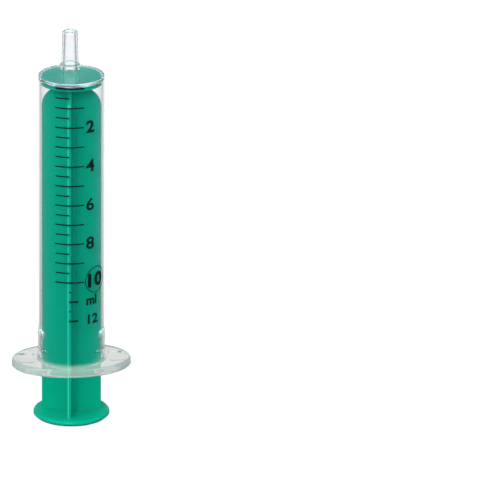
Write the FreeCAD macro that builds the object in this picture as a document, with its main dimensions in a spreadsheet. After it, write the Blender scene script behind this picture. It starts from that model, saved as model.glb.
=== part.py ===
# A 10 ml luer slip syringe in two mouldings, in millimetres.
# It stands on its thumb disc, with the disc's underside at z = 0 and the nozzle on top.
# +X runs along the finger flange, and the nozzle is off centre towards +Y.
import FreeCAD, Part
import os
import Sketcher
from FreeCAD import Vector

# Driving dimensions: the name, the value, and what it measures
SIZES = (
    ("bore_diameter", 15.75, "inside of the barrel"),
    ("barrel_wall", 0.675, "wall of the barrel's tube"),
    ("bore_depth", 78.95, "from the barrel's mouth to its end wall"),
    ("end_wall", 1.0, "thickness of the end wall"),
    ("end_round", 0.25, "round of the end wall's outer edge"),
    ("bore_end_bevel", 0.2, "bevel inside the end of the bore, and on the head that meets it"),
    ("mouth_flare", 0.3, "how much wider the mouth is than the bore, on each side"),
    ("mouth_lead", 1.2, "length of the mouth's lead-in"),
    ("collar_wall", 0.26, "how far the collar stands out of the tube"),
    ("collar_length", 10.9, "from the mouth to the collar's top"),
    ("collar_bevel", 1.8, "height of the collar's sloping top"),
    ("bead_height", 5.0, "from the mouth to the middle of the retaining bead"),
    ("bead_land", 0.3, "flat of the retaining bead"),
    ("bead_ramp", 0.4, "height of the bead's ramp, above and below"),
    ("flange_length", 31.2, "finger flange, tip to tip"),
    ("flange_width", 20.8, "finger flange, front to back"),
    ("flange_thickness", 2.1, "finger flange"),
    ("flange_round", 0.6, "round of the flange's upper edge"),
    ("flange_bevel", 0.3, "bevel of the flange's lower edge"),
    ("collar_foot", 0.4, "bevelled corner between the flange and the collar"),
    ("rest_count", 2, "finger rests, one in each wing of the flange"),
    ("rest_rim", 1.1, "rim left around each finger rest"),
    ("rest_gap", 0.55, "from the collar to each finger rest"),
    ("rest_width", 6.6, "finger rest, front to back"),
    ("rest_depth", 0.55, "depth of each finger rest"),
    ("rest_round", 0.6, "round of the finger rest's corners"),
    ("nozzle_offset", 5.0, "from the barrel's axis to the nozzle's"),
    ("hub_diameter", 5.1, "ring at the nozzle's foot"),
    ("hub_height", 1.5, "height of that ring"),
    ("hub_bevel", 0.25, "bevel of the ring's edge"),
    ("tip_diameter", 3.95, "outside of the nozzle at its tip"),
    ("tip_taper", 0.06, "growth of the nozzle's diameter along its length"),
    ("tip_round", 0.4, "round of the tip's edge"),
    ("cone_length", 8.65, "from the ring to the tip"),
    ("lumen_tip_diameter", 2.4, "channel at the tip"),
    ("lumen_foot_diameter", 3.2, "channel at the end wall"),
    ("disc_diameter", 19.95, "thumb disc"),
    ("disc_thickness", 1.4, "thumb disc"),
    ("disc_round", 0.7, "round of the thumb disc's upper edge"),
    ("disc_bevel", 0.5, "bevel of the thumb disc's lower edge"),
    ("rod_length", 90.25, "from the thumb disc to the head"),
    ("rib_count", 4, "ribs of the rod"),
    ("rib_thickness", 1.0, "each rib"),
    ("rib_root_round", 0.6, "fillet where two ribs meet"),
    ("rib_clearance", 0.135, "between a rib and the bore"),
    ("neck_diameter", 9.8, "across the ribs just under the head"),
    ("neck_length", 1.85, "straight part of the neck"),
    ("shoulder_length", 4.4, "height of the ribs' rounded shoulder"),
    ("head_thickness", 1.1, "plunger head"),
    ("head_clearance", 0.05, "between the head and the bore"),
    ("head_groove_width", 0.3, "bottom of the groove between the head's two lips"),
    ("head_groove_depth", 0.12, "depth of that groove, and slope of the lips beside it"),
    ("bead_clearance", 0.05, "between the ribs and the retaining bead"),
    ("seat_gap", 0.05, "between the head and the end wall at rest"),
    ("plunger_turn", -9.0, "angle of the plunger in the barrel, in degrees"),
)

os.makedirs("parts", exist_ok=True)
doc = FreeCAD.newDocument("syringe")
sheet = doc.addObject("Spreadsheet::Sheet", "Sizes")
for row, (alias, value, meaning) in enumerate(SIZES, start=1):
    sheet.set("A%d" % row, meaning)
    sheet.set("B%d" % row, str(value))
    sheet.setAlias("B%d" % row, alias)
doc.recompute()


class Length:
    """A length worked out from the sheet: its number now, and the expression that binds it there."""

    def __init__(self, number, text):
        self.number = number
        self.text = text

    def __add__(self, other):
        return Length(self.number + other.number, "(%s + %s)" % (self.text, other.text))

    def __sub__(self, other):
        return Length(self.number - other.number, "(%s - %s)" % (self.text, other.text))

    def __mul__(self, other):
        return Length(self.number * other.number, "(%s * %s)" % (self.text, other.text))

    def __truediv__(self, other):
        if isinstance(other, Length):
            return Length(self.number / other.number, "(%s / %s)" % (self.text, other.text))
        return Length(self.number / other, "(%s / %s)" % (self.text, other))


def size(alias):
    """One driving dimension of the sheet."""
    return Length(float(sheet.get(alias)), "Sizes." + alias)


# Lengths that more than one feature uses
ON_AXIS = None
bore_radius = size("bore_diameter") / 2
tube_radius = bore_radius + size("barrel_wall")
collar_radius = tube_radius + size("collar_wall")
mouth_radius = bore_radius + size("mouth_flare")
end_face = size("bore_depth") + size("end_wall")
hub_top = end_face + size("hub_height")
tip_top = hub_top + size("cone_length")
rib_radius = bore_radius - size("rib_clearance")
head_radius = bore_radius - size("head_clearance")
bead_radius = rib_radius + size("bead_clearance")
head_bottom = size("disc_thickness") + size("rod_length")
head_top = head_bottom + size("head_thickness")
mouth_level = head_top + size("seat_gap") - size("bore_depth")


def new_body(label):
    """A body whose label names the piece."""
    body = doc.addObject("PartDesign::Body", label.capitalize())
    body.Label = label
    return body


def new_sketch(body, name, plane, offset="z", distance=None):
    """A sketch on one of the body's own origin planes, moved along one of its own directions."""
    planes = {feature.Role: feature for feature in body.Origin.OriginFeatures}
    sketch = body.newObject("Sketcher::SketchObject", name)
    sketch.AttachmentSupport = [(planes[plane], "")]
    sketch.MapMode = "FlatFace"
    if distance is not None:
        sketch.setExpression("AttachmentOffset.Base." + offset, distance.text)
    return sketch


def pin(sketch, element, point, corner):
    """Holds a sketch's point at a corner, given as its two lengths from the sketch's axes."""
    for kind, axis, length in (("DistanceX", -2, corner[0]), ("DistanceY", -1, corner[1])):
        if length is ON_AXIS:
            sketch.addConstraint(Sketcher.Constraint("PointOnObject", element, point, axis))
        else:
            bind(sketch, Sketcher.Constraint(kind, -1, 1, element, point, length.number), length)


def bind(sketch, constraint, length):
    """Adds a constraint with a size and binds that size to the sheet."""
    index = sketch.addConstraint(constraint)
    sketch.setExpression("Constraints[%d]" % index, length.text)


def start_point(corner):
    """Where a corner lies when the sketch is drawn, before it is solved."""
    across, up = (0.0 if length is ON_AXIS else length.number for length in corner)
    return Vector(across, up, 0)


def draw_outline(sketch, corners):
    """Straight lines from corner to corner and back to the first, each corner pinned."""
    count = len(corners)
    for index, corner in enumerate(corners):
        following = corners[(index + 1) % count]
        sketch.addGeometry(Part.LineSegment(start_point(corner), start_point(following)), False)
    for index, corner in enumerate(corners):
        sketch.addConstraint(Sketcher.Constraint("Coincident", index, 2, (index + 1) % count, 1))
        pin(sketch, index, 1, corner)


def revolve(body, name, sketch, kind="PartDesign::Revolution"):
    """Turns a sketch once around its own upright axis, to add it or to cut it away."""
    feature = body.newObject(kind, name)
    feature.Profile = sketch
    feature.ReferenceAxis = (sketch, ["V_Axis"])
    feature.Angle = 360
    doc.recompute()
    return feature


def pad(body, name, sketch, length, midplane=False):
    """Raises a sketch by a length, or by half of it to each side."""
    feature = body.newObject("PartDesign::Pad", name)
    feature.Profile = sketch
    feature.SideType = "Symmetric" if midplane else "One side"
    feature.setExpression("Length", length.text)
    doc.recompute()
    return feature


def finish_edges(body, name, chosen, finish, length):
    """Rounds (Radius) or bevels (Size) the edges of the body's last feature that the test picks out."""
    base = body.Tip
    names = ["Edge%d" % (index + 1) for index, edge in enumerate(base.Shape.Edges) if chosen(edge)]
    if not names:
        raise RuntimeError(name + " finds no edge to finish")
    kind = "PartDesign::Fillet" if finish == "Radius" else "PartDesign::Chamfer"
    feature = body.newObject(kind, name)
    feature.Base = (base, names)
    feature.setExpression(finish, length.text)
    doc.recompute()
    return feature


def near(one, other):
    """Whether two lengths are the same, to a thousandth of a millimetre."""
    return abs(one - other) < 1e-3


def is_circle(edge, radius, height):
    """Whether an edge is a circle with a radius, at a height."""
    if not isinstance(edge.Curve, Part.Circle) or not near(edge.Curve.Radius, radius.number):
        return False
    return near(edge.Curve.Center.z, height.number)


def check_cut(before, body, name):
    """Stops if a cutting feature left the volume as it was."""
    if body.Shape.Volume > before - 1e-3:
        raise RuntimeError(name + " cuts nothing")


# Barrel: the tube, its end wall, collar, bead and lead-in are one turned section
barrel = new_body("barrel")
bead_half = size("bead_land") / 2
bead_low = size("bead_height") - bead_half
bead_high = size("bead_height") + bead_half
foot_radius = collar_radius + size("collar_foot")
section = new_sketch(barrel, "TubeSection", "XZ_Plane")
draw_outline(section, (
    (mouth_radius, ON_AXIS),
    (bore_radius, size("mouth_lead")),
    (bore_radius, bead_low - size("bead_ramp")),
    (bead_radius, bead_low),
    (bead_radius, bead_high),
    (bore_radius, bead_high + size("bead_ramp")),
    (bore_radius, size("bore_depth") - size("bore_end_bevel")),
    (bore_radius - size("bore_end_bevel"), size("bore_depth")),
    (ON_AXIS, size("bore_depth")),
    (ON_AXIS, end_face),
    (tube_radius, end_face),
    (tube_radius, size("collar_length")),
    (collar_radius, size("collar_length") - size("collar_bevel")),
    (collar_radius, size("flange_thickness") + size("collar_foot")),
    (foot_radius, size("flange_thickness")),
    (foot_radius, ON_AXIS),
))
revolve(barrel, "Tube", section)


def is_end_rim(edge):
    """Whether an edge is the outer rim of the end wall."""
    return is_circle(edge, tube_radius, end_face)


finish_edges(barrel, "EndRound", is_end_rim, "Radius", size("end_round"))

# Finger flange: an ellipse around the mouth, open where the wall of the collar already is
half_length = size("flange_length") / 2
half_width = size("flange_width") / 2
flange_sketch = new_sketch(barrel, "FlangeOutline", "XY_Plane")
flange_sketch.addGeometry(Part.Ellipse(Vector(0, 0, 0), half_length.number, half_width.number), False)
flange_sketch.exposeInternalGeometry(0)
flange_sketch.addConstraint(Sketcher.Constraint("Coincident", 0, 3, -1, 1))
flange_sketch.addConstraint(Sketcher.Constraint("Horizontal", 1))
bind(flange_sketch, Sketcher.Constraint("Distance", 1, half_length.number * 2), size("flange_length"))
bind(flange_sketch, Sketcher.Constraint("Distance", 2, half_width.number * 2), size("flange_width"))
opening_radius = (mouth_radius + collar_radius) / 2
opening_circle = Part.Circle(Vector(0, 0, 0), Vector(0, 0, 1), opening_radius.number)
opening = flange_sketch.addGeometry(opening_circle, False)
flange_sketch.addConstraint(Sketcher.Constraint("Coincident", opening, 3, -1, 1))
bind(flange_sketch, Sketcher.Constraint("Radius", opening, opening_radius.number), opening_radius)
pad(barrel, "Flange", flange_sketch, size("flange_thickness"))


def is_flange_edge(edge, height):
    """Whether an edge is the flange's full outline at a height."""
    if not isinstance(edge.Curve, Part.Ellipse) or not near(edge.Curve.MajorRadius, half_length.number):
        return False
    return near(edge.Curve.Center.z, height)


def is_upper_outline(edge):
    """Whether an edge is the outline of the flange's upper face."""
    return is_flange_edge(edge, size("flange_thickness").number)


def is_lower_outline(edge):
    """Whether an edge is the outline of the flange's lower face."""
    return is_flange_edge(edge, 0)


finish_edges(barrel, "FlangeRound", is_upper_outline, "Radius", size("flange_round"))
finish_edges(barrel, "FlangeBevel", is_lower_outline, "Size", size("flange_bevel"))

# Finger rests: a shallow recess in the top of each wing, its end an arc that follows the flange's edge
tip_curve = half_width * half_width / half_length
rest_end = tip_curve - size("rest_rim")
rest_centre = half_length - tip_curve
rest_start = foot_radius + size("rest_gap")
rest_half = size("rest_width") / 2
rest_reach = (rest_end.number ** 2 - rest_half.number ** 2) ** 0.5
upper_start = Vector(rest_start.number, rest_half.number, 0)
upper_end = Vector(rest_centre.number + rest_reach, rest_half.number, 0)
lower_end = Vector(upper_end.x, -upper_end.y, 0)
lower_start = Vector(upper_start.x, -upper_start.y, 0)
rest_tip = Vector(rest_centre.number + rest_end.number, 0, 0)
rest_sketch = new_sketch(barrel, "RestOutline", "XY_Plane", "z", size("flange_thickness"))
rest_sketch.addGeometry(Part.LineSegment(upper_end, upper_start), False)
rest_sketch.addGeometry(Part.LineSegment(upper_start, lower_start), False)
rest_sketch.addGeometry(Part.LineSegment(lower_start, lower_end), False)
rest_sketch.addGeometry(Part.Arc(lower_end, rest_tip, upper_end), False)
for first, second in ((0, 1), (1, 2)):
    rest_sketch.addConstraint(Sketcher.Constraint("Coincident", first, 2, second, 1))
rest_sketch.addConstraint(Sketcher.Constraint("Coincident", 2, 2, 3, 1))
rest_sketch.addConstraint(Sketcher.Constraint("Coincident", 3, 2, 0, 1))
rest_sketch.addConstraint(Sketcher.Constraint("Horizontal", 0))
rest_sketch.addConstraint(Sketcher.Constraint("Symmetric", 0, 2, 1, 2, -1))
rest_sketch.addConstraint(Sketcher.Constraint("Horizontal", 2))
pin(rest_sketch, 1, 1, (rest_start, rest_half))
pin(rest_sketch, 3, 3, (rest_centre, ON_AXIS))
bind(rest_sketch, Sketcher.Constraint("Radius", 3, rest_end.number), rest_end)
volume = barrel.Shape.Volume
rest = barrel.newObject("PartDesign::Pocket", "FingerRest")
rest.Profile = rest_sketch
rest.setExpression("Length", size("rest_depth").text)
doc.recompute()
check_cut(volume, barrel, "FingerRest")
rests = barrel.newObject("PartDesign::PolarPattern", "FingerRests")
rests.Originals = [rest]
rests.Axis = (rest_sketch, ["N_Axis"])
rests.setExpression("Occurrences", size("rest_count").text)
barrel.Tip = rests
doc.recompute()


def is_upright(edge):
    """Whether an edge is a straight line parallel to z."""
    if not isinstance(edge.Curve, Part.Line):
        return False
    start, end = edge.Vertexes[0].Point, edge.Vertexes[-1].Point
    return near(start.x, end.x) and near(start.y, end.y)


def is_rest_corner(edge):
    """Whether an edge is an upright corner of a finger rest."""
    return is_upright(edge) and near(edge.Length, size("rest_depth").number)


finish_edges(barrel, "RestRounds", is_rest_corner, "Radius", size("rest_round"))

# Nozzle: the ring at its foot and the tapered tip, turned around its own axis
tip_radius = size("tip_diameter") / 2
cone_foot_radius = tip_radius + size("cone_length") * size("tip_taper") / 2
hub_radius = size("hub_diameter") / 2
nozzle_foot = size("bore_depth") + size("end_wall") / 2
nozzle_sketch = new_sketch(barrel, "NozzleSection", "YZ_Plane", "x", size("nozzle_offset"))
draw_outline(nozzle_sketch, (
    (ON_AXIS, nozzle_foot),
    (hub_radius, nozzle_foot),
    (hub_radius, hub_top - size("hub_bevel")),
    (hub_radius - size("hub_bevel"), hub_top),
    (cone_foot_radius, hub_top),
    (tip_radius, tip_top),
    (ON_AXIS, tip_top),
))
revolve(barrel, "Nozzle", nozzle_sketch)


def is_tip_rim(edge):
    """Whether an edge is the outer rim of the nozzle's tip."""
    return is_circle(edge, tip_radius, tip_top)


finish_edges(barrel, "TipRound", is_tip_rim, "Radius", size("tip_round"))

# Lumen: the channel from the bore to the tip, a little wider at its foot
lumen_sketch = new_sketch(barrel, "LumenSection", "YZ_Plane", "x", size("nozzle_offset"))
draw_outline(lumen_sketch, (
    (ON_AXIS, size("bore_depth")),
    (size("lumen_foot_diameter") / 2, size("bore_depth")),
    (size("lumen_tip_diameter") / 2, tip_top),
    (ON_AXIS, tip_top),
))
volume = barrel.Shape.Volume
revolve(barrel, "Lumen", lumen_sketch, "PartDesign::Groove")
check_cut(volume, barrel, "Lumen")
barrel.setExpression("Placement.Base.z", mouth_level.text)

# Plunger: the thumb disc
plunger = new_body("plunger")
disc_radius = size("disc_diameter") / 2
disc_sketch = new_sketch(plunger, "DiscSection", "XZ_Plane")
draw_outline(disc_sketch, (
    (ON_AXIS, ON_AXIS),
    (disc_radius - size("disc_bevel"), ON_AXIS),
    (disc_radius, size("disc_bevel")),
    (disc_radius, size("disc_thickness")),
    (ON_AXIS, size("disc_thickness")),
))
revolve(plunger, "Disc", disc_sketch)


def is_disc_edge(edge):
    """Whether an edge is the thumb disc's upper rim."""
    return is_circle(edge, disc_radius, size("disc_thickness"))


finish_edges(plunger, "DiscRound", is_disc_edge, "Radius", size("disc_round"))

# Rod: one rib from the axis outwards, with a rounded shoulder and a neck, then its pattern
rib_bottom = size("disc_thickness") / 2
rib_top = head_bottom + size("head_thickness") / 2
shoulder_top = head_bottom - size("neck_length")
shoulder_bottom = shoulder_top - size("shoulder_length")
neck_radius = size("neck_diameter") / 2
shoulder_foot = (rib_radius, shoulder_bottom)
shoulder_head = (neck_radius, shoulder_top)
rib_corners = (
    (ON_AXIS, rib_bottom),
    (rib_radius, rib_bottom),
    shoulder_foot,
    shoulder_head,
    (neck_radius, rib_top),
    (ON_AXIS, rib_top),
)
shoulder = rib_corners.index(shoulder_foot)
drop = rib_radius.number - neck_radius.number
rise = size("shoulder_length").number
shoulder_radius = (drop ** 2 + rise ** 2) / (2 * drop)
shoulder_centre = start_point(shoulder_foot) - Vector(shoulder_radius, 0, 0)
middle = (start_point(shoulder_foot) + start_point(shoulder_head)) / 2 - shoulder_centre
shoulder_middle = shoulder_centre + middle * (shoulder_radius / middle.Length)
rib_points = [start_point(corner) for corner in rib_corners]
rib_sketch = new_sketch(plunger, "RibOutline", "XZ_Plane")
for index, point in enumerate(rib_points):
    following = rib_points[(index + 1) % len(rib_points)]
    if index == shoulder:
        rib_sketch.addGeometry(Part.Arc(point, shoulder_middle, following), False)
    else:
        rib_sketch.addGeometry(Part.LineSegment(point, following), False)
for index, corner in enumerate(rib_corners):
    following = (index + 1) % len(rib_corners)
    rib_sketch.addConstraint(Sketcher.Constraint("Coincident", index, 2, following, 1))
    pin(rib_sketch, index, 1, corner)
centre_height = Sketcher.Constraint("DistanceY", -1, 1, shoulder, 3, shoulder_bottom.number)
bind(rib_sketch, centre_height, shoulder_bottom)
rib = pad(plunger, "Rib", rib_sketch, size("rib_thickness"), midplane=True)
ribs = plunger.newObject("PartDesign::PolarPattern", "Ribs")
ribs.Originals = [rib]
ribs.Axis = (rib_sketch, ["V_Axis"])
ribs.setExpression("Occurrences", size("rib_count").text)
plunger.Tip = ribs
doc.recompute()


def is_rib_root(edge):
    """Whether an edge is an upright corner where two ribs meet, close to the axis."""
    foot = edge.Vertexes[0].Point
    return is_upright(edge) and Vector(foot.x, foot.y, 0).Length < size("rib_thickness").number


finish_edges(plunger, "RibRoots", is_rib_root, "Radius", size("rib_root_round"))

# Head: a thin disc with two sealing lips and a groove between them
groove_radius = head_radius - size("head_groove_depth")
groove_middle = head_bottom + size("head_thickness") / 2
groove_bottom = groove_middle - size("head_groove_width") / 2
groove_top = groove_middle + size("head_groove_width") / 2
head_sketch = new_sketch(plunger, "HeadSection", "XZ_Plane")
draw_outline(head_sketch, (
    (ON_AXIS, head_bottom),
    (groove_radius, head_bottom),
    (head_radius, head_bottom + size("head_groove_depth")),
    (head_radius, groove_bottom - size("head_groove_depth")),
    (groove_radius, groove_bottom),
    (groove_radius, groove_top),
    (head_radius, groove_top + size("head_groove_depth")),
    (head_radius, head_top - size("bore_end_bevel")),
    (head_radius - size("bore_end_bevel"), head_top),
    (ON_AXIS, head_top),
))
revolve(plunger, "Head", head_sketch)
plunger.Placement = FreeCAD.Placement(Vector(0, 0, 0), FreeCAD.Rotation(Vector(0, 0, 1), -1))
plunger.setExpression("Placement.Rotation.Angle", size("plunger_turn").text)
doc.recompute()

# Nothing is written unless every object is sound
for item in doc.Objects:
    if "Invalid" in item.State or "Error" in item.State:
        raise RuntimeError("%s is not sound: %s" % (item.Name, item.State))
for body in (barrel, plunger):
    shape = body.Shape
    if shape.isNull() or not shape.isValid() or len(shape.Solids) != 1:
        raise RuntimeError(body.Label + " is not one valid solid")
    box = shape.BoundBox
    print(body.Label, "volume %.1f mm3" % shape.Volume, "x %.2f to %.2f" % (box.XMin, box.XMax),
          "y %.2f to %.2f" % (box.YMin, box.YMax), "z %.2f to %.2f" % (box.ZMin, box.ZMax))
    shape.exportStep("parts/%s.step" % body.Label)
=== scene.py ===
# %% [markdown]
# # A disposable luer slip syringe
# The CAD model gives two mouldings, a clear barrel and a green plunger, as fixed meshes in metres.
# Here they get their plastics, the printed scale, a pale studio and the photograph's camera.

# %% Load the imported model
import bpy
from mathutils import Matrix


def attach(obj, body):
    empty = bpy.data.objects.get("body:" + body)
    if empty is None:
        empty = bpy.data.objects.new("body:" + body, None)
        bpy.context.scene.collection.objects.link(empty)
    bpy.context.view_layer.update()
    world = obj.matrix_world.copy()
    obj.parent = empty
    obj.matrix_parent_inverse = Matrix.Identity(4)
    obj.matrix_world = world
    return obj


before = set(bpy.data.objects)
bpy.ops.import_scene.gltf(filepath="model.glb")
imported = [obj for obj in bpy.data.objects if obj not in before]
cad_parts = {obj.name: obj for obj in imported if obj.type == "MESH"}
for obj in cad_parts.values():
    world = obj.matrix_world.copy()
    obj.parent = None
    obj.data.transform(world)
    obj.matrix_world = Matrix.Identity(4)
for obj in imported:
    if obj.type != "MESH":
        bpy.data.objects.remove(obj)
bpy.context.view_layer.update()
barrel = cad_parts["barrel"]
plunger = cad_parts["plunger"]

# %% [markdown]
# Blender counts in metres and a moulding shop in millimetres, so one factor turns one into the
# other. Colours are written as the sRGB values that a screen shows, because that is how a colour
# is matched by eye. Shaders compute with linear light, so one function does the conversion.

# %% Units and colours
import math
import bmesh
import bpy
import numpy as np
from mathutils import Matrix, Vector

MM = 0.001
WHITE = (1, 1, 1, 1)


def linear(hex_code):
    """sRGB hex to linear RGBA: c / 12.92 up to 0.04045, and ((c + 0.055) / 1.055) ** 2.4 above."""
    srgb = np.array([int(hex_code[i:i + 2], 16) for i in (1, 3, 5)]) / 255
    light = np.where(srgb <= 0.04045, srgb / 12.92, ((srgb + 0.055) / 1.055) ** 2.4)
    return (*light.tolist(), 1.0)


print("mid grey is", linear("#808080"))

# %% [markdown]
# The camera comes first, because every later choice is judged through it. The photograph was
# taken with a long lens from a little above: the ellipses of the barrel's end and of the flange
# are about a third as high as they are wide, which is a view from about twenty degrees above. The
# syringe stands left of the middle. Instead of shifting the lens, the camera turns about its own
# upright axis, which keeps the barrel upright in the frame.

# %% Camera
FRAME_PX = 480
AXIS_PX = 71.4  # where the barrel's axis stands in the frame
FOCAL_PX = 5772  # the pixels filled by a thing as wide as its distance
SENSOR_MM = 36
DISTANCE_M = 1.5
AIM_MM = 48.4  # the height that stands in the middle of the frame
azimuth, elevation = math.radians(-4.2), math.radians(20.2)

camera_data = bpy.data.cameras.new("camera")
camera_data.sensor_width = SENSOR_MM
camera_data.lens = FOCAL_PX / FRAME_PX * SENSOR_MM
camera_data.clip_start = 0.01
camera = bpy.data.objects.new("camera", camera_data)
bpy.context.scene.collection.objects.link(camera)
bpy.context.scene.camera = camera

away = Vector((math.sin(azimuth) * math.cos(elevation),
               -math.cos(azimuth) * math.cos(elevation),
               math.sin(elevation)))
right = Vector((math.cos(azimuth), math.sin(azimuth), 0))
up = away.cross(right)
turn = math.atan((FRAME_PX / 2 - AXIS_PX) / FOCAL_PX)
forward = -away * math.cos(turn) + right * math.sin(turn)
right = forward.cross(up)
camera.matrix_world = Matrix.LocRotScale(
    Vector((0, 0, AIM_MM * MM)) + away * DISTANCE_M,
    Matrix((right, up, -forward)).transposed().to_quaternion(), None)
print("lens %.1f mm, camera at" % camera_data.lens, tuple(camera.location))

# %% [markdown]
# A material is a small network of nodes. One function adds a node, gives it its settings and its
# values, and wires other nodes into it, so that each material below reads as a list.

# %% One function that adds a node
# A Mix node set to colours has its factor, its two colours and its result at these places.
FACTOR, COLOUR_A, COLOUR_B, MIXED = 0, 6, 7, 2


def add(tree, kind, settings=None, values=None, links=None):
    """Adds one node. Settings are its properties, values its input values, and links its wires,
    each from another node's output, or from a node, which stands for its first output."""
    node = tree.nodes.new("ShaderNode" + kind)
    for name, value in (settings or {}).items():
        setattr(node, name, value)
    for name, value in (values or {}).items():
        node.inputs[name].default_value = value
    for name, source in (links or {}).items():
        output = source.outputs[0] if isinstance(source, bpy.types.Node) else source
        tree.links.new(output, node.inputs[name])
    return node


def new_material(name):
    """An empty node material."""
    material = bpy.data.materials.new(name)
    material.use_nodes = True
    material.node_tree.nodes.clear()
    return material


def give(piece, material):
    """Puts a material on every slot of a piece."""
    if not piece.data.materials:
        piece.data.materials.append(material)
    for slot in piece.material_slots:
        slot.material = material
    print(material.name, "has", len(material.node_tree.nodes), "nodes, given to", piece.name)


# %% [markdown]
# The plunger is polyethylene, coloured green all through and injection moulded. A lighter green
# line is painted along the free end of the front rib: a painted highlight for the bright edge of
# that rib. The pattern is turned with the ribs and kept off the thumb disc.
# The green itself varies a little in patches, as pigment does that is mixed into the melt.

# %% Plunger: its greens and a painted highlight line
PATCHES_PER_METRE = 120.0  # one patch in about 8 mm
RIBS_TURNED = math.radians(9)
RIB_END_MM = -7.3
DISC_TOP_MM = 1.6
# Where the painted highlight line runs across the front rib, and its half width.
LINE_MM, HALF_LINE_MM = -0.17, 0.11

green = new_material("polyethylene_green_moulded")
tree = green.node_tree
place = add(tree, "TexCoord").outputs["Object"]
patches = add(tree, "TexNoise", values={"Scale": PATCHES_PER_METRE, "Detail": 2.0},
              links={"Vector": place})
greens = add(tree, "Mix", {"data_type": "RGBA"},
             {COLOUR_A: linear("#00A483"), COLOUR_B: linear("#009F7E")},
             {FACTOR: patches.outputs["Fac"]})
turned = add(tree, "VectorRotate", {"rotation_type": "Z_AXIS"}, {"Angle": RIBS_TURNED},
             {"Vector": place})
across_ribs = add(tree, "SeparateXYZ", links={0: turned}).outputs
on_highlight_line = add(tree, "Math", {"operation": "COMPARE"}, {1: LINE_MM * MM, 2: HALF_LINE_MM * MM},
              {0: across_ribs["X"]})
on_rib_end = add(tree, "Math", {"operation": "LESS_THAN"}, {1: RIB_END_MM * MM},
                 {0: across_ribs["Y"]})
above_disc = add(tree, "Math", {"operation": "GREATER_THAN"}, {1: DISC_TOP_MM * MM},
                 {0: across_ribs["Z"]})
# A painted highlight: a lighter green line down the front rib's free end, kept off the thumb disc.
painted_highlight = add(tree, "Math", {"operation": "MULTIPLY"}, links={0: on_highlight_line, 1: on_rib_end})
painted_highlight = add(tree, "Math", {"operation": "MULTIPLY"}, links={0: painted_highlight, 1: above_disc})
colour = add(tree, "Mix", {"data_type": "RGBA"}, {COLOUR_B: linear("#3CC4A3")},
             {FACTOR: painted_highlight, COLOUR_A: greens.outputs[MIXED]})
print("one patch of green is %.1f mm" % (1 / PATCHES_PER_METRE / MM))

# %% [markdown]
# Polyethylene is waxy: its sheen is soft and broad, not a mirror, so its specular level is low.
# The mould was spark eroded, which leaves a fine texture on the skin. A fine noise stands for it
# in the roughness and the bump, drawn coarser than the real one, which is too fine to show. The
# edges are rounded a little in the shading, as a moulding's are.

# %% Plunger: its satin skin
GRAIN_PER_METRE = 2500.0  # one grain in 0.4 mm
GRAIN_DEPTH_MM = 0.02
EDGE_MM = 0.12

grain = add(tree, "TexNoise", values={"Scale": GRAIN_PER_METRE, "Detail": 3.0},
            links={"Vector": place}).outputs["Fac"]
rough = add(tree, "MapRange", values={"To Min": 0.16, "To Max": 0.24}, links={"Value": grain})
edges = add(tree, "Bevel", {"samples": 6}, {"Radius": EDGE_MM * MM})
bump = add(tree, "Bump", values={"Strength": 0.08, "Distance": GRAIN_DEPTH_MM * MM},
           links={"Height": grain, "Normal": edges})
skin = add(tree, "BsdfPrincipled", values={"IOR": 1.51, "Specular IOR Level": 0.09},
           links={"Base Color": colour.outputs[MIXED], "Roughness": rough, "Normal": bump})
add(tree, "OutputMaterial", links={"Surface": skin})
give(plunger, green)

# %% [markdown]
# The barrel is clear polypropylene. Its tube comes from a polished mould and is as smooth as
# glass. The flange and the nozzle are rougher, as where a mould is left etched, and they scatter a
# little of the light at their surface, which makes them milky. The cut tip scatters the most.
# Height alone tells these places apart, because the moulding is round.

# %% Barrel: where its skin is etched
FLANGE_TOP_MM = (15.9, 17.2)  # the etched skin fades between each pair of heights
NOZZLE_FOOT_MM = (94.0, 95.0)
NOZZLE_TIP_MM = (103.4, 103.7)
NOZZLE_MILK, TIP_MILK = 0.2, 1.5  # against 1 for the flange

clear = new_material("polypropylene_clear_moulded")
tree = clear.node_tree
place = add(tree, "TexCoord").outputs["Object"]
height = add(tree, "SeparateXYZ", links={0: place}).outputs["Z"]
flange = add(tree, "MapRange", {"interpolation_type": "SMOOTHSTEP"},
             {"From Min": FLANGE_TOP_MM[0] * MM, "From Max": FLANGE_TOP_MM[1] * MM,
              "To Min": 1.0, "To Max": 0.0}, {"Value": height})
nozzle = add(tree, "MapRange", {"interpolation_type": "SMOOTHSTEP"},
             {"From Min": NOZZLE_FOOT_MM[0] * MM, "From Max": NOZZLE_FOOT_MM[1] * MM},
             {"Value": height})
tip = add(tree, "MapRange",
          values={"From Min": NOZZLE_TIP_MM[0] * MM, "From Max": NOZZLE_TIP_MM[1] * MM},
          links={"Value": height})
etched = add(tree, "Math", {"operation": "MAXIMUM"}, links={0: flange, 1: nozzle})
milk = add(tree, "Math", {"operation": "MULTIPLY_ADD"}, {1: NOZZLE_MILK}, {0: nozzle, 2: flange})
milk = add(tree, "Math", {"operation": "MULTIPLY_ADD"}, {1: TIP_MILK}, {0: tip, 2: milk})
print("the tube is clear between %.1f and %.1f mm" % (FLANGE_TOP_MM[1], NOZZLE_FOOT_MM[0]))

# %% [markdown]
# The end face round the nozzle isn't quite flat. A wide thin disc of plastic shrinks as it cools
# and is left with a slight crown. It bends the mirrored studio and the green below it. The crown
# is a bump that falls with the square of the distance from the axis, and only on that face.

# %% Barrel: the end face's crown
BARREL_MM = 8.55  # the tube's outside radius
END_FACE_MM, HALF_FACE_MM = 93.78, 0.08
CROWN_MM = 0.3

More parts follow.
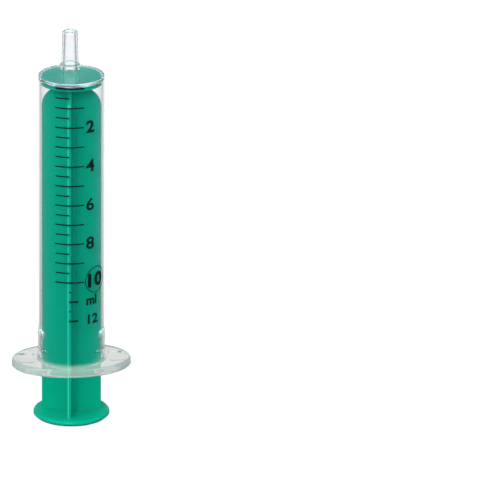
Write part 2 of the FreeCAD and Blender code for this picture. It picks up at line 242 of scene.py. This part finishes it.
from_axis = add(tree, "VectorMath", {"operation": "MULTIPLY"}, {1: (1, 1, 0)}, {0: place})
squared = add(tree, "VectorMath", {"operation": "DOT_PRODUCT"},
              links={0: from_axis, 1: from_axis}).outputs["Value"]
on_face = add(tree, "Math", {"operation": "COMPARE"},
              {1: END_FACE_MM * MM, 2: HALF_FACE_MM * MM}, {0: height})
crown = add(tree, "Math", {"operation": "MULTIPLY"},
            {1: -CROWN_MM * MM / (BARREL_MM * MM) ** 2}, {0: squared})
crown = add(tree, "Math", {"operation": "MULTIPLY"}, links={0: crown, 1: on_face})
relief = add(tree, "Bump", values={"Distance": 1.0}, links={"Height": crown})
print("the end face is crowned by", CROWN_MM, "mm")

# %% [markdown]
# Polypropylene bends light as glass does, with an index of 1.49, and its small crystals scatter a
# little of the light forwards, so a thin haze fills the plastic. The specular tint holds its
# mirror images down where it is seen face on, and leaves them at its edges. Light that falls on
# the green inside goes straight through the barrel, because a path tracer hardly ever finds a
# small lamp through a curved wall.

# %% Barrel: the clear plastic
tint = add(tree, "Mix", {"data_type": "RGBA"},
           {COLOUR_A: linear("#FCFDFE"), COLOUR_B: linear("#FFFBF4")}, {FACTOR: flange})
rough = add(tree, "MapRange", values={"To Min": 0.03, "To Max": 0.12}, links={"Value": etched})
passed = add(tree, "MapRange", {"clamp": False}, {"To Min": 1.0, "To Max": 0.86},
             {"Value": milk})
body = add(tree, "BsdfPrincipled", values={"IOR": 1.49, "Specular Tint": (0.08, 0.08, 0.08, 1)},
           links={"Base Color": tint.outputs[MIXED], "Roughness": rough,
                  "Transmission Weight": passed, "Normal": relief})
haze = add(tree, "VolumeScatter", values={"Color": WHITE, "Density": 20.0, "Anisotropy": 0.8})
rays = add(tree, "LightPath").outputs
open_way = add(tree, "BsdfTransparent", values={"Color": linear("#EBFBFF")})
lit = add(tree, "MixShader", links={0: rays["Is Diffuse Ray"], 1: body, 2: open_way})
lit = add(tree, "MixShader", links={0: rays["Is Shadow Ray"], 1: lit, 2: open_way})
add(tree, "OutputMaterial", links={"Surface": lit, "Volume": haze})
give(barrel, clear)

# %% [markdown]
# The scale is printed on the outside of the barrel in black ink. Each line is a real piece here,
# a film of ink on the plastic, because a picture of the print would be an image texture. The
# print is laid out flat, as the printer's plate is, and then wrapped on the barrel. The film
# starts a little inside the surface, so that no gap shows between its facets and the barrel's.

# %% The printer's plate
ZERO_MM = 92.65  # the height of the zero mark
PITCH_MM = 5.2995  # from one millilitre to the next
INK_LOW_MM = BARREL_MM - 0.024
INK_HIGH_MM = BARREL_MM + 0.016


def across(degrees):
    """Distance round the barrel from its front line, in mm, for an angle in degrees."""
    return math.radians(degrees) * BARREL_MM


def mark_height(millilitres):
    """The height of a mark: the zero mark's, less one pitch for each millilitre."""
    return ZERO_MM - PITCH_MM * millilitres


def wrapped(flat_x, flat_z, radius):
    """A flat print's points on the barrel: the angle is x / barrel's radius, and the point is
    (r sin angle, -r cos angle, z)."""
    angle = flat_x / BARREL_MM
    return np.stack([radius * np.sin(angle), -radius * np.cos(angle), flat_z + 0 * angle],
                    -1) * MM


print("one degree is %.3f mm, and the ten stands at %.2f mm" % (across(1), mark_height(10)))

# %% [markdown]
# Every line of ink has the same section, a flat bar with four corners, so one function carries
# that section along any path on the plate: a straight mark, or a ring that closes on itself. A
# second function joins such parts into one piece, as one pass of the printer makes them.


# %% A printed line
def printed_line(path, width, closed=False):
    """A line of ink along a path on the plate: at each of its points the path is widened to both
    sides by half the width, and each side has a low and a high point, so that four points go
    round the line's section and the section is carried along the path."""
    ahead = np.roll(path, -1, 0) - np.roll(path, 1, 0) if closed else np.gradient(path, axis=0)
    ahead = ahead / np.linalg.norm(ahead, axis=1)[:, None]
    side = np.stack([-ahead[:, 1], ahead[:, 0]], 1) * width / 2
    left, right_side = path + side, path - side
    section = ((left, INK_LOW_MM), (right_side, INK_LOW_MM),
               (right_side, INK_HIGH_MM), (left, INK_HIGH_MM))
    points = np.stack([wrapped(edge[:, 0], edge[:, 1], radius) for edge, radius in section], 1)
    count = len(path)
    station = np.arange(count if closed else count - 1)[:, None]
    corner = np.arange(4)[None, :]
    here, there = station * 4, (station + 1) % count * 4
    next_corner = (corner + 1) % 4
    faces = np.stack([here + corner, there + corner, there + next_corner, here + next_corner],
                     -1).reshape(-1, 4)
    if not closed:
        last = (count - 1) * 4
        faces = np.concatenate([faces, [[0, 1, 2, 3]], [[last + 3, last + 2, last + 1, last]]])
    return points.reshape(-1, 3), faces


def piece_from(name, parts):
    """One mesh object from several sets of points and faces."""
    starts = np.cumsum([0] + [len(points) for points, _ in parts[:-1]])
    faces = [face for (_, part), start in zip(parts, starts) for face in (part + start).tolist()]
    mesh = bpy.data.meshes.new(name)
    mesh.from_pydata(np.concatenate([points for points, _ in parts]).tolist(), [], faces)
    mesh.validate()
    piece = bpy.data.objects.new(name, mesh)
    bpy.context.scene.collection.objects.link(piece)
    print(name, "is made of", len(parts), "parts and", len(faces), "faces")
    return piece


# %% [markdown]
# A syringe's marks are read along one edge, so the lines from zero to ten start at the left. A
# full line stands at each millilitre and a short one at each half. Beyond ten the marks are only a
# guide, short and in the middle. The line at zero is thick, because each dose is set against it.

# %% Graduation lines
# Each row is the millilitres, the angles where the lines start and end, and the lines' width in mm.
LINES = (
    ([0], -33.3, 18.5, 0.5),
    (range(1, 11), -33.3, 18.5, 0.38),
    ([ml + 0.5 for ml in range(10)], -32.5, -7.8, 0.36),
    ([11, 12], -8.4, 8.0, 0.5),
    ([10.5, 11.5], -8.4, -4.0, 0.3),
)
LINE_POINTS = 13


def level_line(millilitres, start_degrees, end_degrees, width):
    """A graduation: a straight level line on the plate."""
    x = np.linspace(across(start_degrees), across(end_degrees), LINE_POINTS)
    return printed_line(np.stack([x, np.full_like(x, mark_height(millilitres))], 1), width)


graduation = piece_from("graduation_marks", [
    level_line(ml, start, end, width) for row, start, end, width in LINES for ml in row])

# %% [markdown]
# The ten is ringed, because it is the volume that the syringe is sold for. The ring is one closed
# line of ink on the plate: an ellipse a little higher than it is wide.

# %% The ring round the ten
RING_DEGREES, RING_RAISED_MM = 44.0, 0.05
RING_HALF_WIDTH_MM, RING_HALF_HEIGHT_MM = 3.4, 3.5
RING_LINE_MM = 0.22
RING_POINTS = 72

circle = np.linspace(0, 2 * np.pi, RING_POINTS, endpoint=False)
ring_path = np.stack([
    across(RING_DEGREES) + RING_HALF_WIDTH_MM * np.cos(circle),
    mark_height(10) + RING_RAISED_MM + RING_HALF_HEIGHT_MM * np.sin(circle)], 1)
ring = piece_from("ring_around_ten", [printed_line(ring_path, RING_LINE_MM, closed=True)])

# %% [markdown]
# The numbers are set in letters and not drawn, because type is what a printer would use. Flat
# letters can't bend: a large face stays flat. So each word is made a thin solid, cut into narrow
# upright strips, and only then wrapped on the barrel with the same formula as the lines.

# %% Numbers
STRIP_MM = 0.3
MERGED = 1e-5  # points nearer than this are one, in letter heights
# Each row is the text, the millilitres that it stands at, its angle, how far it is raised and its
# height in mm, how much bolder the strokes are, and how much wider the word is.
WORDS = (
    ("2", 2, 30.5, 0, 3.4, 0.035, 1.12),
    ("4", 4, 30.5, 0, 3.4, 0.015, 1.22),
    ("6", 6, 30.5, 0, 3.4, 0.02, 1.15),
    ("8", 8, 30.5, 0, 3.4, 0.02, 1.15),
    ("10", 10, 43.5, 0.1, 3.9, 0.035, 1.25),
    ("ml", 11, 34, 0.05, 2.7, 0.04, 1.0),
    ("12", 12, 37, 0.05, 2.7, 0.03, 1.15),
)


def solid_letters(text, bold):
    """A word as a thin solid mesh, from Blender's own type."""
    letters = bpy.data.curves.new("letters", "FONT")
    letters.body = text
    letters.align_x = "CENTER"
    letters.offset = bold
    letters.extrude = 0.5
    letters.resolution_u = 4
    holder = bpy.data.objects.new("letters", letters)
    mesh = bpy.data.meshes.new_from_object(holder)
    solid = bmesh.new()
    solid.from_mesh(mesh)
    bpy.data.objects.remove(holder)
    bpy.data.curves.remove(letters)
    bpy.data.meshes.remove(mesh)
    bmesh.ops.remove_doubles(solid, verts=solid.verts, dist=MERGED)
    return solid


def printed_word(text, millilitres, degrees, raised, height, bold, stretch):
    """A word of ink: the letters, cut into narrow upright strips so that they can bend, scaled to
    their height and wrapped on the barrel, with the front face high and the back face low."""
    solid = solid_letters(text, bold)
    points = np.array([v.co for v in solid.verts])
    (left_end, low), (right_end, high) = points[:, :2].min(0), points[:, :2].max(0)
    scale = height / (high - low)
    for x in np.arange(left_end, right_end, STRIP_MM / scale)[1:]:
        bmesh.ops.bisect_plane(solid, geom=[*solid.verts, *solid.edges, *solid.faces],
                               dist=1e-6, plane_co=(x, 0, 0), plane_no=(1, 0, 0))
    bmesh.ops.triangulate(solid, faces=solid.faces)
    points = np.array([v.co for v in solid.verts])
    faces = np.array([[v.index for v in f.verts] for f in solid.faces])
    solid.free()
    x = (points[:, 0] - (left_end + right_end) / 2) * scale * stretch + across(degrees)
    z = (points[:, 1] - (low + high) / 2) * scale + mark_height(millilitres) + raised
    return wrapped(x, z, np.where(points[:, 2] > 0, INK_HIGH_MM, INK_LOW_MM)), faces


numbers = piece_from("scale_numbers", [printed_word(*row) for row in WORDS])

# %% [markdown]
# Screen printing ink dries to a thin film of pigment and binder, a black that looks faintly green
# over green plastic. It is half matt, so it mirrors the studio much less than the plastic does.
# The three pieces of ink ride on the barrel, because they are printed on that moulding.

# %% Ink
ink = new_material("screen_printing_ink_black")
tree = ink.node_tree
film = add(tree, "BsdfPrincipled", values={"Base Color": linear("#061F1D"), "Roughness": 0.45,
                                           "Specular IOR Level": 0.2})
add(tree, "OutputMaterial", links={"Surface": film})
for piece in (graduation, ring, numbers):
    give(piece, ink)
    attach(piece, "barrel")

# %% [markdown]
# Clear plastic shows what stands around it, so the studio is part of its look. Light crosses the
# barrel's two walls, the air and the nozzle many times, so the render follows each ray for longer
# than usual. Too few bounces would leave dark rings at the thick ends.

# %% Studio
scene = bpy.context.scene
scene.view_settings.view_transform = "Standard"
scene.cycles.max_bounces = 128
scene.cycles.transmission_bounces = 64
scene.cycles.volume_bounces = 16
scene.cycles.glossy_bounces = 128
scene.cycles.transparent_max_bounces = 32
print("light bounces up to", scene.cycles.max_bounces, "times")

# %% [markdown]
# A photographer lights clear plastic from behind: a white sheet at the back, and black flags at
# the sides, whose dark reflections draw the edges. The flags aren't objects here. They are a
# brightness by direction, which only mirrored and refracted rays see, so that they take no light
# from the green. Rays that only shine through the plastic find more light at the sides and in
# front than mirrored ones do, which keeps it clear from every side.

# %% The studio's brightness
BACK_LEVEL = 0.98
FLAG_START, FLAG_END = math.radians(10), math.radians(60)
FLAG_MIRRORED, FLAG_THROUGH = 0.05, 0.32
FRONT_START, FRONT_END = math.radians(80), math.radians(120)
FRONT_MIRRORED, FRONT_THROUGH, FRONT_STRAIGHT = 0.02, 0.55, 1.88  # the last two are added


def shows_the_studio(tree):
    """1 for a ray that brings a view of the studio, mirrored by a gloss or through clear plastic,
    and 0 for a ray that brings light to a surface that scatters it."""
    rays = add(tree, "LightPath").outputs
    clear_way = add(tree, "Math", {"operation": "MAXIMUM"},
                    links={0: rays["Is Glossy Ray"], 1: rays["Is Transmission Ray"]})
    first = add(tree, "Math", {"operation": "LESS_THAN"}, {1: 0.5}, {0: rays["Diffuse Depth"]})
    return add(tree, "Math", {"operation": "MULTIPLY"}, links={0: clear_way, 1: first})


def lit_backdrop(tree, place):
    """The studio's brightness in a direction from the syringe, by the angle away from straight
    behind it: white at the back, dark at the flags on both sides, and again at the front."""
    parts = add(tree, "SeparateXYZ", links={0: place}).outputs
    angle = add(tree, "Math", {"operation": "ARCTAN2"}, links={0: parts["X"], 1: parts["Y"]})
    off = add(tree, "Math", {"operation": "SUBTRACT"}, {1: -azimuth}, {0: angle})
    off = add(tree, "Math", {"operation": "ABSOLUTE"}, links={0: off})
    rays = add(tree, "LightPath").outputs
    through = rays["Is Transmission Ray"]
    unmirrored = add(tree, "Math", {"operation": "LESS_THAN"}, {1: 0.5},
                     {0: rays["Glossy Depth"]})
    straight = add(tree, "Math", {"operation": "MULTIPLY"}, links={0: through, 1: unmirrored})
    flag = add(tree, "MapRange", values={"To Min": FLAG_MIRRORED, "To Max": FLAG_THROUGH},
               links={"Value": through})
    beside = add(tree, "MapRange", {"interpolation_type": "SMOOTHSTEP"},
                 {"From Min": FLAG_START, "From Max": FLAG_END, "To Min": BACK_LEVEL},
                 {"Value": off, "To Max": flag})
    level = add(tree, "Math", {"operation": "MULTIPLY_ADD"},
                {1: FRONT_THROUGH, 2: FRONT_MIRRORED}, {0: through})
    level = add(tree, "Math", {"operation": "MULTIPLY_ADD"}, {1: FRONT_STRAIGHT},
                {0: straight, 2: level})
    front = add(tree, "MapRange", {"interpolation_type": "SMOOTHSTEP"},
                {"From Min": FRONT_START, "From Max": FRONT_END, "To Min": 1.0},
                {"Value": off, "To Max": level})
    return add(tree, "Math", {"operation": "MULTIPLY"}, links={0: beside, 1: front})


# %% [markdown]
# A ray that has been turned about ten times inside the plastic can't be followed much further.
# Without an end it would come back dark, so it brings the mean light that such rays carry.

# %% The light of long paths
MEAN_LIGHT = (1.15, 1.9, 1.7, 1)
FEW_TURNS, MANY_TURNS = 8.0, 12.0


def run_far(tree, light):
    """The mean light instead of a given one, for rays that turned many times."""
    turns = add(tree, "LightPath").outputs["Ray Depth"]
    far = add(tree, "MapRange", values={"From Min": FEW_TURNS, "From Max": MANY_TURNS},
              links={"Value": turns})
    return add(tree, "Mix", {"data_type": "RGBA"}, {COLOUR_B: MEAN_LIGHT},
               {FACTOR: far, COLOUR_A: light}).outputs[MIXED]


# %% [markdown]
# The world has three looks. The camera sees plain white. Rays that scatter on a surface find an
# even fill that is a little stronger from the front left. Mirrored and refracted rays find the
# backdrop above, which turns dimmer and bluer towards the ceiling.

# %% World
FILL_FROM = (-0.4, -0.75, 0.53)
FILL_LEAST, FILL_MOST = 0.95, 1.22
CEILING_START, CEILING_END = 0.1, 0.35  # upward parts of a direction of length 1
CEILING_LEVEL = 0.25

world = bpy.data.worlds.new("studio")
scene.world = world
world.use_nodes = True
tree = world.node_tree
tree.nodes.clear()
direction = add(tree, "TexCoord").outputs["Generated"]
facing = add(tree, "VectorMath", {"operation": "DOT_PRODUCT"}, {1: FILL_FROM}, {0: direction})
fill = add(tree, "MapRange", values={"From Min": -1.0, "From Max": 1.0, "To Min": FILL_LEAST,
                                     "To Max": FILL_MOST},
           links={"Value": facing.outputs["Value"]})
ambient = add(tree, "Background", values={"Color": (0.9, 0.96, 1.04, 1)},
              links={"Strength": fill})
upward = add(tree, "SeparateXYZ", links={0: direction}).outputs["Z"]
top_edge = add(tree, "MapRange", {"interpolation_type": "SMOOTHSTEP"},
               {"From Min": CEILING_START, "From Max": CEILING_END, "To Min": 1.0,
                "To Max": CEILING_LEVEL}, {"Value": upward})
level = add(tree, "Math", {"operation": "MULTIPLY"},
            links={0: lit_backdrop(tree, direction), 1: top_edge})
ceiling = add(tree, "Mix", {"data_type": "RGBA"},
              {COLOUR_A: linear("#A0C0FF"), COLOUR_B: WHITE}, {FACTOR: top_edge})
coloured = add(tree, "VectorMath", {"operation": "MULTIPLY"},
               links={0: ceiling.outputs[MIXED], 1: level})
room = add(tree, "Background", links={"Color": run_far(tree, coloured.outputs[0])})
seen = add(tree, "Background", values={"Color": WHITE, "Strength": 1.0})
rays = add(tree, "LightPath").outputs
other = add(tree, "MixShader", links={0: shows_the_studio(tree), 1: ambient, 2: room})
mixed = add(tree, "MixShader", links={0: rays["Is Camera Ray"], 1: other, 2: seen})
add(tree, "OutputWorld", links={"Surface": mixed})
print("the world has", len(tree.nodes), "nodes")

# %% [markdown]
# Two round soft boxes stand in front, one near the camera and a smaller one on the left. Their
# light gives the ribs a bright side and a dark side, and their mirror images lie on the glossy
# plastic as small bright spots. Large lamps would spread these images into a veil.

# %% Lamps
LAMP_DISTANCE_M = 1.1
LAMP_AIM = Vector((0, 0, 0.05))
LAMP_COLOUR = (1.0, 1.0, 0.92)


def softbox(name, turned_left, height_angle, size, watts):
    """A round soft lamp aimed at the syringe, by its angles to the left of the front and up."""
    lamp = bpy.data.lights.new(name, "AREA")
    lamp.shape = "DISK"
    lamp.size = size
    lamp.energy = watts
    lamp.color = LAMP_COLOUR
    holder = bpy.data.objects.new(name, lamp)
    scene.collection.objects.link(holder)
    side, lift = math.radians(turned_left), math.radians(height_angle)
    towards = Vector((-math.sin(side) * math.cos(lift), -math.cos(side) * math.cos(lift),
                      math.sin(lift)))
    holder.location = LAMP_AIM + LAMP_DISTANCE_M * towards
    holder.rotation_euler = (-towards).to_track_quat("-Z", "Y").to_euler()
    print(name, "lamp of", watts, "W at", tuple(holder.location))


softbox("front", 16, 31, 0.38, 4.9)
softbox("left", 52, 40, 0.16, 1.5)

# %% [markdown]
# The floor is a sheet of white paper. To the camera it is nearly all white light of its own, with
# a small part that takes shade, so that the foot's shadow shows. To bounced light it is a mid
# grey, darker than real paper, because a white sheet would fill the shaded side of the green from
# below. Clear plastic and gloss see the studio's brightness on it, with a painted shadow that
# makes it a little dimmer near the foot.

# %% Floor
FLOOR_M = 4
FLOOR_SIDES = 64
# The painted shadow round the foot: where it starts and fades out, and its level at the foot.
POOL_START_M, POOL_END_M, POOL_LEVEL = 0.02, 0.25, 0.84

floor_mesh = bpy.data.meshes.new("floor")
around = np.linspace(0, 2 * np.pi, FLOOR_SIDES, endpoint=False)
floor_points = np.stack([FLOOR_M * np.cos(around), FLOOR_M * np.sin(around), 0 * around], 1)
floor_mesh.from_pydata(floor_points.tolist(), [], [list(range(FLOOR_SIDES))])
floor = bpy.data.objects.new("floor", floor_mesh)
scene.collection.objects.link(floor)

paper = new_material("studio_paper_white")
tree = paper.node_tree
spot = add(tree, "TexCoord").outputs["Object"]
from_foot = add(tree, "VectorMath", {"operation": "LENGTH"}, links={0: spot}).outputs["Value"]
# A painted shadow: the floor that clear plastic and gloss see is darker near the foot.
painted_shadow = add(tree, "MapRange", {"interpolation_type": "SMOOTHSTEP"},
           {"From Min": POOL_START_M, "From Max": POOL_END_M, "To Min": POOL_LEVEL,
            "To Max": 1.0}, {"Value": from_foot})
level = add(tree, "Math", {"operation": "MULTIPLY"},
            links={0: lit_backdrop(tree, spot), 1: painted_shadow})
shown = add(tree, "Emission", links={"Color": run_far(tree, level.outputs[0])})
matt = add(tree, "BsdfDiffuse", values={"Color": (0.3, 0.3, 0.3, 1)})
bright = add(tree, "Emission", values={"Strength": 0.82})
faint = add(tree, "BsdfDiffuse", values={"Color": (0.2, 0.2, 0.2, 1)})
both = add(tree, "AddShader", links={0: bright, 1: faint})
rays = add(tree, "LightPath").outputs
other = add(tree, "MixShader", links={0: shows_the_studio(tree), 1: matt, 2: shown})
mixed = add(tree, "MixShader", links={0: rays["Is Camera Ray"], 1: other, 2: both})
add(tree, "OutputMaterial", links={"Surface": mixed})
give(floor, paper)
